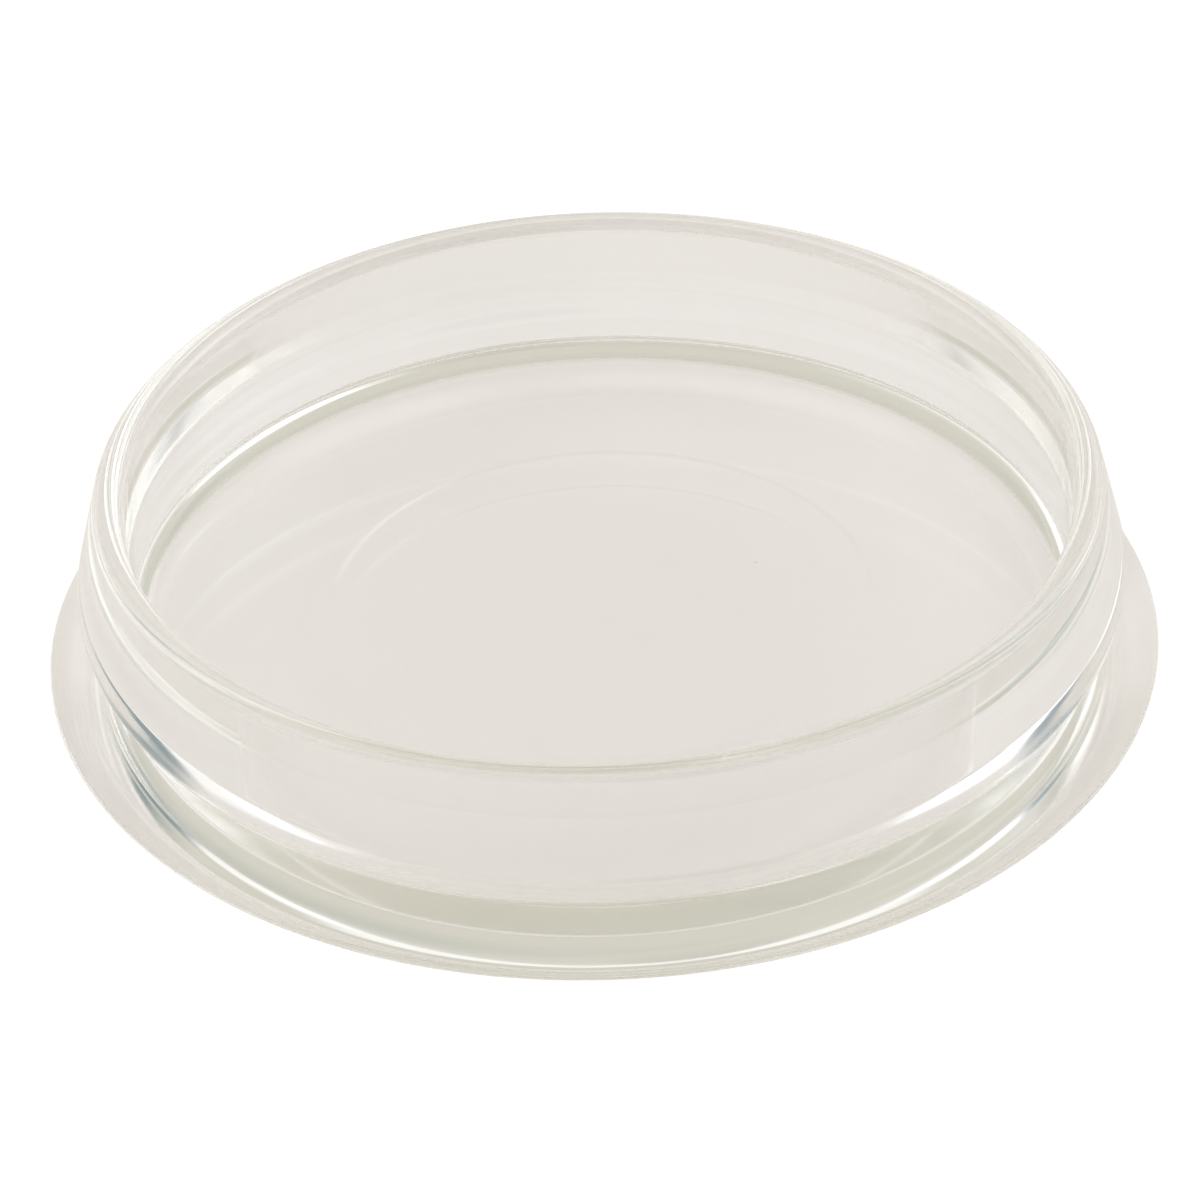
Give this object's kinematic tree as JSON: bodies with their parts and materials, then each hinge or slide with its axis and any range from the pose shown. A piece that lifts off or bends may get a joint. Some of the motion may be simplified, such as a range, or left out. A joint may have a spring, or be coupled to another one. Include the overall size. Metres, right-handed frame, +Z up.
{
  "type": "caster cup",
  "caption": "Clear round dish with a rounded rim, a swelling wall and a spreading foot; it stands under a furniture leg or caster and spreads its load over the floor.",
  "frame": {"origin": "centre of the flat underside, on the surface that the cup stands on", "axes": "+Z up along the axis that the cup is turned about, out of its mouth; X and Y are alike"},
  "size_m": [0.0568, 0.0568, 0.0102],
  "materials": {
    "clear_plastic": "clear, polished, slightly warm and green where it is thick"
  },
  "bodies": {
    "root": {"cup": "clear_plastic"}
  },
  "joints": []
}
